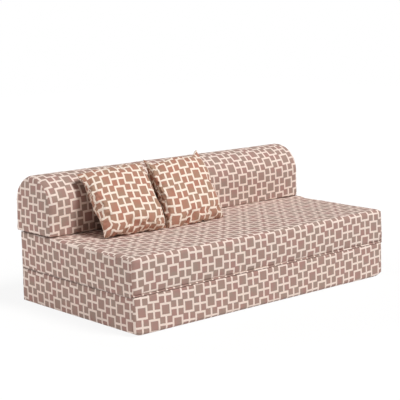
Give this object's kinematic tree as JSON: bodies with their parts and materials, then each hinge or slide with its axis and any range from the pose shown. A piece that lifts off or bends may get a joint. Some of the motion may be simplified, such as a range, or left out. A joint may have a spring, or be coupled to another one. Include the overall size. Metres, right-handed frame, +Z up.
{
  "type": "folding foam sofa bed",
  "caption": "Armless foam sofa bed: a seat slab folded on a base slab, a round-topped backrest and loose throw pillows; it swings open into a floor bed.",
  "frame": {"origin": "on the floor, at the middle of the base slab's underside", "axes": "+X along the sofa to the sitter's left, +Y to the rear, +Z up"},
  "size_m": [1.91, 1.0308, 0.7724],
  "materials": {
    "cover_cloth": "matte",
    "pillow_cloth": "matte",
    "foam": "matte",
    "fibre": "matte",
    "zip_tape": "matte",
    "zip_coil": "satin",
    "zip_metal": "satin",
    "hinge_cloth": "matte"
  },
  "bodies": {
    "base": {"base_foam_core": "foam", "base_cover_wrap": "cover_cloth", "base_cover_end_left": "cover_cloth", "base_cover_end_right": "cover_cloth", "base_zip_tape": "zip_tape", "base_zip_coil": "zip_coil", "front_hinge_roll": "hinge_cloth", "front_hinge_flap_lower": "hinge_cloth"},
    "seat": {"seat_foam_core": "foam", "seat_cover_wrap": "cover_cloth", "seat_cover_end_left": "cover_cloth", "seat_cover_end_right": "cover_cloth", "seat_zip_tape": "zip_tape", "seat_zip_coil": "zip_coil", "front_hinge_flap_upper": "hinge_cloth", "rear_hinge_roll": "hinge_cloth", "rear_hinge_flap": "hinge_cloth"},
    "backrest": {"backrest_foam_core": "foam", "backrest_cover_wrap": "cover_cloth", "backrest_cover_end_left": "cover_cloth", "backrest_cover_end_right": "cover_cloth", "backrest_zip_tape": "zip_tape", "backrest_zip_coil": "zip_coil"},
    "pillow_left": {"pillow_left_cover_front": "pillow_cloth", "pillow_left_cover_back_lower": "pillow_cloth", "pillow_left_cover_back_upper": "pillow_cloth", "pillow_left_filling": "fibre"},
    "pillow_right": {"pillow_right_cover_front": "pillow_cloth", "pillow_right_cover_back_lower": "pillow_cloth", "pillow_right_cover_back_upper": "pillow_cloth", "pillow_right_filling": "fibre"},
    "base_zip_slider": {"base_zip_slider": "zip_metal"},
    "base_zip_puller": {"base_zip_puller": "zip_metal"},
    "seat_zip_slider": {"seat_zip_slider": "zip_metal"},
    "seat_zip_puller": {"seat_zip_puller": "zip_metal"},
    "backrest_zip_slider": {"backrest_zip_slider": "zip_metal"},
    "backrest_zip_puller": {"backrest_zip_puller": "zip_metal"}
  },
  "joints": [
    {"name": "seat_fold", "type": "hinge", "parent": "base", "child": "seat", "pos_m": [0, -0.49165, 0.203], "axis": [1, 0, 0], "range_deg": [0, 180]},
    {"name": "backrest_fold", "type": "hinge", "parent": "seat", "child": "backrest", "pos_m": [0, 0.5295, 0.40615], "axis": [-1, 0, 0], "range_deg": [0, 180]},
    {"name": "pillow_left_lift", "type": "slide", "parent": "backrest", "child": "pillow_left", "axis": [0, -0.5, 0.866], "range_m": [0, 0.3]},
    {"name": "pillow_right_lift", "type": "slide", "parent": "backrest", "child": "pillow_right", "axis": [0, -0.5, 0.866], "range_m": [0, 0.3]},
    {"name": "base_zip_slide", "type": "slide", "parent": "base", "child": "base_zip_slider", "axis": [-1, 0, 0], "range_m": [0, 1.687]},
    {"name": "base_zip_pull", "type": "hinge", "parent": "base_zip_slider", "child": "base_zip_puller", "pos_m": [0.8435, 0.49723, 0.101], "axis": [0, 0, 1], "range_deg": [0, 180]},
    {"name": "seat_zip_slide", "type": "slide", "parent": "seat", "child": "seat_zip_slider", "axis": [-1, 0, 0], "range_m": [0, 1.687]},
    {"name": "seat_zip_pull", "type": "hinge", "parent": "seat_zip_slider", "child": "seat_zip_puller", "pos_m": [0.8435, 0.49723, 0.304], "axis": [0, 0, 1], "range_deg": [0, 180]},
    {"name": "backrest_zip_slide", "type": "slide", "parent": "backrest", "child": "backrest_zip_slider", "axis": [-1, 0, 0], "range_m": [0, 1.687]},
    {"name": "backrest_zip_pull", "type": "hinge", "parent": "backrest_zip_slider", "child": "backrest_zip_puller", "pos_m": [0.8435, 0.53523, 0.4543], "axis": [0, 0, 1], "range_deg": [0, 180]}
  ],
  "couplings": [
    {"joint": "backrest_fold", "follows": "seat_fold", "ratio": 1}
  ]
}
